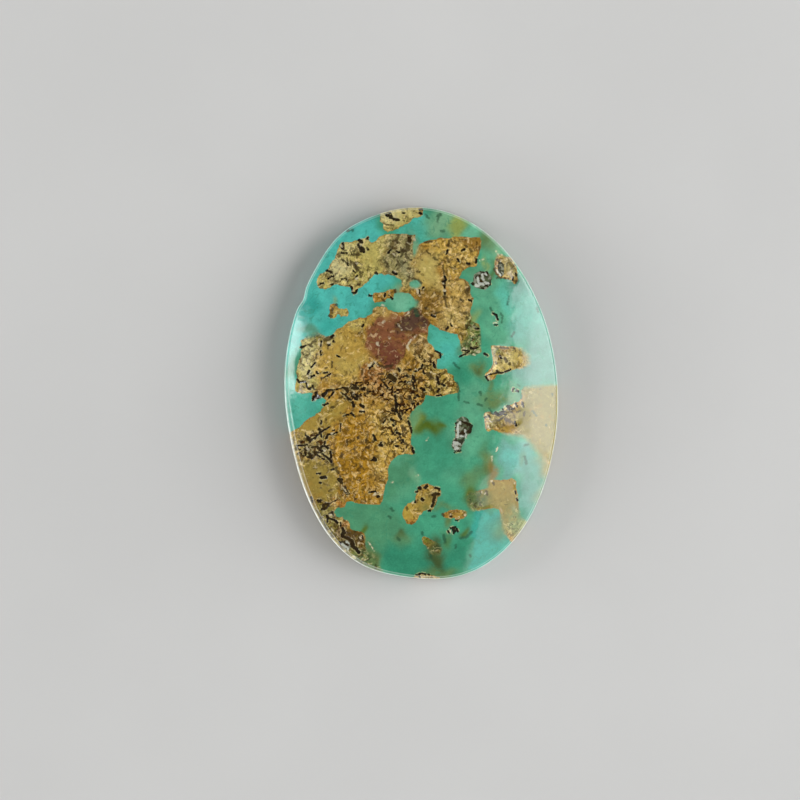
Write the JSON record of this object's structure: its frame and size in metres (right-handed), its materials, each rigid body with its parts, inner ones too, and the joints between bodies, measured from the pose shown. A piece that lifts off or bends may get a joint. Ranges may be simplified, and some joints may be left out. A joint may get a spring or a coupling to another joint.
{
  "type": "turquoise cabochon",
  "caption": "Oval polished turquoise stone in brown host rock, with a low domed face and a flat ground back to rest on or be set by.",
  "frame": {"origin": "middle of the flat ground back", "axes": "+Y along the stone's long axis, towards the end with the broad shoulder; +X along its short axis; +Z out of the domed face"},
  "size_m": [0.0221, 0.03, 0.005],
  "materials": {
    "polished_turquoise": "polished"
  },
  "bodies": {
    "root": {"turquoise_cabochon": "polished_turquoise"}
  },
  "joints": []
}
